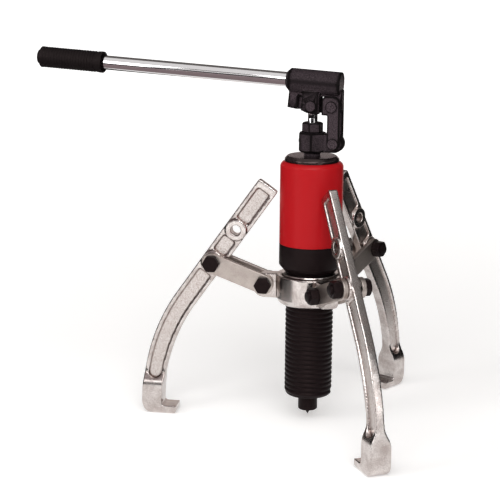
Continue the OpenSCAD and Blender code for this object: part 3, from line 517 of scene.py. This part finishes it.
def rib_tree():
    """Geometry Nodes: rings of round section, one after another along an axis."""
    number = "NodeSocketFloat"
    tree = new_tree("row of ribs", {
        "Radius": number, "Rib Radius": number, "Pitch": number, "Start": number, "Count": "NodeSocketInt",
        "Material": "NodeSocketMaterial"})
    given = add(tree, "NodeGroupInput").outputs
    start = add(tree, "ShaderNodeCombineXYZ", {"Z": given["Start"]})
    step = add(tree, "ShaderNodeCombineXYZ", {"Z": given["Pitch"]})
    row = add(tree, "GeometryNodeMeshLine", {
        "Count": given["Count"], "Start Location": start.outputs["Vector"],
        "Offset": step.outputs["Vector"]}, mode="OFFSET")
    circle = add(tree, "GeometryNodeCurvePrimitiveCircle", {"Resolution": 96, "Radius": given["Radius"]})
    section = add(tree, "GeometryNodeCurvePrimitiveCircle", {
        "Resolution": 10, "Radius": given["Rib Radius"]})
    rib = add(tree, "GeometryNodeCurveToMesh", {
        "Curve": circle.outputs["Curve"], "Profile Curve": section.outputs["Curve"]})
    ribs = add(tree, "GeometryNodeInstanceOnPoints", {
        "Points": row.outputs["Mesh"], "Instance": rib.outputs["Mesh"]})
    real = add(tree, "GeometryNodeRealizeInstances", {"Geometry": ribs.outputs["Instances"]})
    dressed = add(tree, "GeometryNodeSetMaterial", {
        "Geometry": real.outputs["Geometry"], "Material": given["Material"]})
    add(tree, "NodeGroupOutput", {"Geometry": dressed.outputs["Geometry"]})
    return tree


class PULLER_OT_barrel(bpy.types.Operator):
    """Make the threaded barrel"""

    bl_idname = "puller.barrel"
    bl_label = "Threaded barrel"

    def execute(self, context):
        sizes = context.scene.puller_sizes
        black = palette(context.scene)["black_steel"]
        low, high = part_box("barrel")
        foot, top = low.z / MM, high.z / MM
        crest = high.x / MM
        root = crest - sizes.thread_depth / MM
        bore, neck = 21, 28
        shoulder = 181.3
        runout = 3.5
        core = lathe([
            (bore, foot), (root - 1.2, foot), (root, foot + 1.6), (root, shoulder), (neck, shoulder),
            (neck, top), (bore, top)])
        ridge = grown(thread_tree(), {
            "Crest Radius": crest * MM, "Depth": sizes.thread_depth, "Pitch": sizes.thread_pitch,
            "Length": (shoulder - foot - 2 * runout) * MM, "Foot": (foot + runout) * MM, "Material": black})
        mesh = soften(joined(core, ridge), 30)
        keep("threaded_barrel", mesh, black, "cylinder", "black_steel", "barrel")
        return {"FINISHED"}


class PULLER_OT_reservoir(bpy.types.Operator):
    """Make the enamelled reservoir with its band and cap"""

    bl_idname = "puller.reservoir"
    bl_label = "Reservoir, band and cap"

    def execute(self, context):
        looks = palette(context.scene)
        outer, inner = 39, 35

        # A tube with a rounded shoulder and an open mouth
        low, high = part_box("reservoir_sleeve")
        foot, top = low.z / MM, high.z / MM
        mouth, bend, lip = 30, 6.5, 6.2
        sleeve = lathe([(inner, foot), (outer - 0.4, foot), (outer, foot + 0.4)]
                       + arc(outer - bend, top - bend, bend, 0, 90, 14)
                       + [(mouth, top), (mouth, top - lip), (inner, top - lip)])
        keep("reservoir", sleeve, looks["red_paint"], "cylinder", "red_paint", "reservoir_sleeve")

        # A tapered band with a spigot inside the tube
        band_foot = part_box("lower_band")[0].z / MM
        band_bore, spigot, spigot_height = 28.05, 34.9, 8
        band = lathe([
            (band_bore, band_foot), (31.5, band_foot), (32.2, band_foot + 0.3), (38.7, band_foot + 8.1),
            (outer, band_foot + 8.8), (outer, foot - 0.5), (38.5, foot), (spigot, foot),
            (spigot, foot + spigot_height), (band_bore, foot + spigot_height)])
        keep("foot_band", band, looks["black_steel"], "cylinder", "black_steel", "lower_band")

        # A chamfered cap, hollow below, with a hole for the pump
        cap_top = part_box("top_cap")[1].z / MM
        hollow, plug, rim, hole, roof = 13.8, 29.9, 33.75, 10.05, 9.6
        cap = lathe([
            (hollow, top - lip), (plug, top - lip), (plug, top), (33.4, top), (rim, top + 0.4),
            (rim, cap_top - 3.9), (33.4, cap_top - 3.2), (30.8, cap_top - 0.5), (30, cap_top),
            (10.3, cap_top), (hole, cap_top - 0.3), (hole, cap_top - roof), (hollow, cap_top - roof)])
        keep("reservoir_cap", cap, looks["black_gloss"], "cylinder", "black_steel", "top_cap")
        return {"FINISHED"}


class PULLER_OT_lever(bpy.types.Operator):
    """Make the chromed lever with its ribbed grip and cast socket"""

    bl_idname = "puller.lever"
    bl_label = "Lever"

    def execute(self, context):
        sizes = context.scene.puller_sizes
        looks = palette(context.scene)
        steps = 96
        end = -LEVER_REACH
        tube_bore, tube_radius, tube_root = 6.5, 9, 19.6
        tube = lathe([
            (tube_bore, end + 4.1), (8.9, end + 4.1), (tube_radius, end + 4.5), (tube_radius, 19),
            (8.5, tube_root), (tube_bore, tube_root)], steps, LEVER_AXIS)
        keep("lever_tube", tube, looks["chrome_plate"], "lever", "chrome_plate", "handle_tube")

        mouth = end + GRIP_LENGTH
        ribbed, collar, sleeve = 12.7, 13.5, 9.1
        skin = lathe(
            [(0, end + 0.4), (6, end + 0.1), (9, end + 0.6)] + arc(9.2, end + 4.8, 4.2, 80, 0, 8)
            + [(13.4, end + 7), (ribbed, end + 8.4), (ribbed, mouth - 9), (13.2, mouth - 7.5),
               (collar, mouth - 4), (collar, mouth - 0.6), (13.1, mouth - 0.1), (12.5, mouth - 0.4),
               (11, mouth - 3), (sleeve, mouth - 6), (sleeve, end + 4), (0, end + 4)], steps, LEVER_AXIS)
        first, last = end + 9.8, mouth - 9.6
        ribs = grown(rib_tree(), {
            "Radius": (ribbed - 0.05) * MM, "Rib Radius": sizes.rib_height, "Pitch": sizes.rib_pitch,
            "Start": first * MM, "Count": int((last - first) * MM / sizes.rib_pitch) + 1,
            "Material": looks["rubber"]})
        ribs.transform(LEVER_AXIS)
        grip = soften(joined(skin, ribs), 35)
        keep("ribbed_grip", grip, looks["rubber"], "lever", "rubber", "handle_grip")

        socket = forged("handle_socket", 0.7 * MM, 3, CASTING_MELT)
        keep("lever_socket", socket, looks["black_casting"], "lever", "black_steel", "handle_socket")
        return {"FINISHED"}


class PULLER_OT_pump(bpy.types.Operator):
    """Make the pump body, gland nut, fulcrum links, pins, plunger and release screw"""

    bl_idname = "puller.pump"
    bl_label = "Pump head"

    def execute(self, context):
        edge = context.scene.puller_sizes.turned_edge
        looks = palette(context.scene)
        for node, name, grain_mm in (
                ("pump_body", "pump_casting", 0.6),
                ("gland_nut", "gland_hexagon", 0.5),
                ("fulcrum_link_front", "front_fulcrum", 0.6),
                ("fulcrum_link_rear", "rear_fulcrum", 0.6),
                ("base_pin", "base_pin_turned", 0.35),
                ("link_pin", "link_pin_turned", 0.35),
                ("plunger_pin", "plunger_pin_turned", 0.35)):
            mesh = forged(node, grain_mm * MM, 3, CASTING_MELT)
            keep(name, mesh, looks["black_casting"], BODY_OF[node], "black_steel", node)
        for node, name, slot in (
                ("plunger", "plunger_rod", "chrome_plate"),
                ("release_screw", "release_knob", "plain_steel")):
            keep(name, eased(node, edge), looks[slot], BODY_OF[node], slot, node)
        return {"FINISHED"}


class PULLER_OT_puller(bpy.types.Operator):
    """Make the yoke, links and jaws with forged edges"""

    bl_idname = "puller.puller"
    bl_label = "Yoke, links and jaws"

    def execute(self, context):
        looks = palette(context.scene)
        bright, satin = looks["bright_forging"], looks["satin_links"]
        keep("yoke_forging", forged("yoke", 0.8 * MM, 6), bright, "yoke", "bright_forging", "yoke")
        for k in JAWS:
            jaw = f"jaw_{k}"
            across = Vector(JOINTS[f"jaw_hinge_{k}"]["axis"])
            mesh = mark_floors(forged(jaw, 0.8 * MM, 9), across)
            keep(f"{jaw}_forging", mesh, bright, jaw, "bright_forging", jaw)
            for side in ("head_side", "nut_side"):
                node = f"jaw_link_{k}_{side}"
                plate = forged(node, 0.6 * MM, 4)
                keep(f"{node}_plate", plate, satin, f"links_{k}", "satin_links", node)
        return {"FINISHED"}


class PULLER_OT_bolts(bpy.types.Operator):
    """Make the hexagon bolts and nuts with eased edges"""

    bl_idname = "puller.bolts"
    bl_label = "Bolts and nuts"

    def execute(self, context):
        edge = context.scene.puller_sizes.bolt_edge
        black = palette(context.scene)["black_steel"]
        jaw_bolts = [f"jaw_bolt_{k}" for k in JAWS]
        jaw_nuts = [f"jaw_nut_{k}" for k in JAWS]
        for node in ("lug_bolts", "lug_nuts", *jaw_bolts, *jaw_nuts):
            keep(f"{node}_black", eased(node, edge), black, BODY_OF[node], "black_steel", node)
        return {"FINISHED"}


class PULLER_OT_inner(bpy.types.Operator):
    """Give every remaining solid its finish, and make the return spring's wire"""

    bl_idname = "puller.inner"
    bl_label = "Inner pieces"

    def execute(self, context):
        looks = palette(context.scene)
        slots = {part["node"]: part["material_slot"] for part in frame["record"]["subparts"]}
        for node, solid in NODES.items():
            solid.data.materials.clear()
            solid.data.materials.append(looks[slots[node]])
        slot = slots["return_spring"]
        wire = soften(merged_copy("return_spring"), 70)
        spring = keep("return_spring_wire", wire, looks[slot], "cylinder", slot, "return_spring")
        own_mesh(spring)
        return {"FINISHED"}


def set_camera(scene):
    """Places the camera at the reference view."""
    camera = bpy.data.objects.new("camera", bpy.data.cameras.new("camera"))
    camera.data.lens = 100.9
    camera.data.sensor_width = 36
    camera.data.clip_end = 100
    heading, tip, roll = (math.radians(angle) for angle in (17.17, 77.17, 0.48))
    turn = Matrix.Rotation(heading, 4, "Z") @ Matrix.Rotation(tip, 4, "X") @ Matrix.Rotation(roll, 4, "Z")
    camera.matrix_world = Matrix.Translation((0.4314, -1.6513, 0.5947)) @ turn
    scene.collection.objects.link(camera)
    scene.camera = camera
    return camera


def set_room(scene):
    """Fills the room with a little even, slightly warm light."""
    world = bpy.data.worlds.new("studio")
    world.use_nodes = True
    scene.world = world
    room = world.node_tree.nodes["Background"]
    room.inputs["Color"].default_value = linear("#FFF6F2")
    room.inputs["Strength"].default_value = 0.14


def floor_paint():
    """Matt pale paint that keeps shadows near the object and turns white further away."""
    material = bare_material("pale studio floor")
    tree = material.node_tree
    ray = add(tree, "ShaderNodeLightPath").outputs
    seen = ray["Is Camera Ray"]
    for kind in ("Is Glossy Ray", "Is Transmission Ray"):
        seen = add(tree, "ShaderNodeMath", {0: seen, 1: ray[kind]}, operation="MAXIMUM").outputs[0]
    place = add(tree, "ShaderNodeTexCoord").outputs["Object"]
    away = add(tree, "ShaderNodeVectorMath", {0: place}, operation="LENGTH")
    whitening = add(tree, "ShaderNodeMapRange", {
        "Value": away.outputs["Value"], "From Min": 0.4, "From Max": 3.0, "To Min": 0.31, "To Max": 0.95})
    lift = add(tree, "ShaderNodeMath", {0: seen, 1: whitening.outputs["Result"]}, operation="MULTIPLY")
    matt = add(tree, "ShaderNodeBsdfDiffuse", {"Color": linear("#F2F1F0")})
    glow = add(tree, "ShaderNodeEmission", {"Color": linear("#FFFFFF"), "Strength": lift.outputs[0]})
    both = add(tree, "ShaderNodeAddShader", {0: matt.outputs[0], 1: glow.outputs[0]})
    add(tree, "ShaderNodeOutputMaterial", {"Surface": both.outputs[0]})
    return material


def lay_floor(scene):
    """Lays a round floor that turns up into a low pale wall far away, so that low views see no horizon."""
    sides = 96
    cove = ((9.0, 0.0), (9.6, 0.1), (10.0, 0.4), (10.2, 1.0), (10.2, 3.5))
    turns = [math.tau * i / sides for i in range(sides)]
    points = [(reach * math.cos(turn), reach * math.sin(turn), FLOOR_Z + rise)
              for reach, rise in cove for turn in turns]
    faces = [tuple(range(sides))]
    for ring in range(len(cove) - 1):
        low, high = ring * sides, (ring + 1) * sides
        for i in range(sides):
            j = (i + 1) % sides
            faces.append((low + i, low + j, high + j, high + i))
    ground = bpy.data.meshes.new("floor")
    ground.from_pydata(points, [], faces)
    ground.materials.append(floor_paint())
    floor = bpy.data.objects.new("floor", ground)
    scene.collection.objects.link(floor)


def lamp(name, place, size, watts):
    """A rectangular soft lamp that points at the middle of the object."""
    data = bpy.data.lights.new(name, "AREA")
    data.shape = "RECTANGLE"
    data.size, data.size_y = size
    data.energy = watts
    light = bpy.data.objects.new(name, data)
    light.location = place
    middle = Vector((0, 0, 0.2))
    light.rotation_euler = (middle - Vector(place)).to_track_quat("-Z", "Y").to_euler()
    bpy.context.scene.collection.objects.link(light)
    return light


def hang_lamps(scene):
    """Hangs four soft lamps and an even daylight without highlights."""
    lamp("key", (-1.5, -1.5, 0.9), (0.9, 1.1), 13)
    lamp("fill", (1.9, -1.0, 0.8), (0.5, 1.2), 4)
    overhead = lamp("overhead", (0.0, -0.8, 2.0), (3.0, 2.4), 17)
    overhead.data.specular_factor = 0.1
    lamp("front", (0.2, -2.3, 1.35), (2.2, 1.1), 26)
    daylight = bpy.data.lights.new("daylight", "SUN")
    daylight.energy = 0.9
    daylight.angle = math.radians(40)
    daylight.specular_factor = 0
    even = bpy.data.objects.new("daylight", daylight)
    even.rotation_euler = (math.radians(40), math.radians(24), 0)
    scene.collection.objects.link(even)


def card_stock(name, tone):
    """Matt card or cloth for the pieces that only show in reflections."""
    material = bpy.data.materials.new(name)
    material.use_nodes = True
    shader = material.node_tree.nodes["Principled BSDF"]
    shader.inputs["Base Color"].default_value = linear(tone)
    shader.inputs["Roughness"].default_value = 1.0
    return material


def wall(points, height, foot=FLOOR_Z):
    """Points and faces of an upright strip over a line on the floor."""
    low = [(x, y, foot) for x, y in points]
    high = [(x, y, height) for x, y in points]
    count = len(points)
    return low + high, [(i, i + 1, count + i + 1, count + i) for i in range(count - 1)]


def hang_cards(scene, camera):
    """Hangs the cards and flags that the bright metal and the cap mirror."""
    black = card_stock("black flag cloth", "#0A0909")
    grey = card_stock("warm grey card", "#8C7C7E")
    pale = card_stock("pale card", "#CFC5C1")
    facing = math.atan2(camera.location.y, camera.location.x)
    radius, height = 0.56, 0.4

    def around(start, end):
        """A wall on a circle round the object, between two angles in degrees from the camera's side."""
        turns = [facing + math.radians(angle) for angle in range(start, end + 1, 6)]
        return wall([(radius * math.cos(turn), radius * math.sin(turn)) for turn in turns], height)

    # The lever card lies flat beside the cap, under the lever
    left, right, near, far, level = -0.5, -0.04, -0.75, 0.0, 0.33
    lever_card = [(left, near, level), (right, near, level), (right, far, level), (left, far, level)]
    for name, (points, faces), stock in (
            ("lever card", (lever_card, [(0, 1, 2, 3)]), grey),
            ("right surround", around(42, 150), black),
            ("left surround", around(210, 300), black),
            ("back card", around(150, 210), pale),
            ("cap card", wall([(-1.1, 1.5), (0.3, 1.5)], 0.72, 0.42), grey),
            ("back flag", wall([(-3, 1.6), (3, 1.6)], 1.1, 0.55), black),
            ("front flag", wall([(-3, -3.6), (3, -3.6)], 0.95), black)):
        cloth = bpy.data.meshes.new(name)
        cloth.from_pydata(points, [], faces)
        cloth.materials.append(stock)
        flag = bpy.data.objects.new(name.replace(" ", "_"), cloth)
        scene.collection.objects.link(flag)
        flag.visible_camera = False
        flag.visible_diffuse = False
        flag.visible_shadow = False


class PULLER_OT_stage(bpy.types.Operator):
    """Set up the camera, the floor and the studio light"""

    bl_idname = "puller.stage"
    bl_label = "Stage"

    def execute(self, context):
        scene = context.scene
        scene.view_settings.view_transform = "Standard"
        camera = set_camera(scene)
        set_room(scene)
        lay_floor(scene)
        hang_lamps(scene)
        hang_cards(scene, camera)
        return {"FINISHED"}


class PULLER_PT_panel(bpy.types.Panel):
    """Lists the puller's sizes, colours and pieces"""

    bl_idname = "PULLER_PT_panel"
    bl_label = "Gear puller"
    bl_space_type = "VIEW_3D"
    bl_region_type = "UI"
    bl_category = "Puller"

    def draw(self, context):
        for group in (context.scene.puller_sizes, context.scene.puller_colours):
            for key in group.__annotations__:
                self.layout.prop(group, key)
        for operator in OPERATORS:
            self.layout.operator(operator.bl_idname)


OPERATORS = (
    PULLER_OT_stage, PULLER_OT_inner, PULLER_OT_barrel, PULLER_OT_reservoir, PULLER_OT_lever,
    PULLER_OT_pump, PULLER_OT_puller, PULLER_OT_bolts)
CLASSES = (PullerSizes, PullerColours, *OPERATORS, PULLER_PT_panel)


def register():
    for kind in CLASSES:
        bpy.utils.register_class(kind)
    bpy.types.Scene.puller_sizes = bpy.props.PointerProperty(type=PullerSizes)
    bpy.types.Scene.puller_colours = bpy.props.PointerProperty(type=PullerColours)


def unregister():
    del bpy.types.Scene.puller_colours
    del bpy.types.Scene.puller_sizes
    for kind in reversed(CLASSES):
        bpy.utils.unregister_class(kind)


def main():
    register()
    bpy.ops.puller.stage()
    bpy.ops.puller.inner()
    bpy.ops.puller.barrel()
    bpy.ops.puller.reservoir()
    bpy.ops.puller.lever()
    bpy.ops.puller.pump()
    bpy.ops.puller.puller()
    bpy.ops.puller.bolts()


if __name__ == "__main__":
    main()
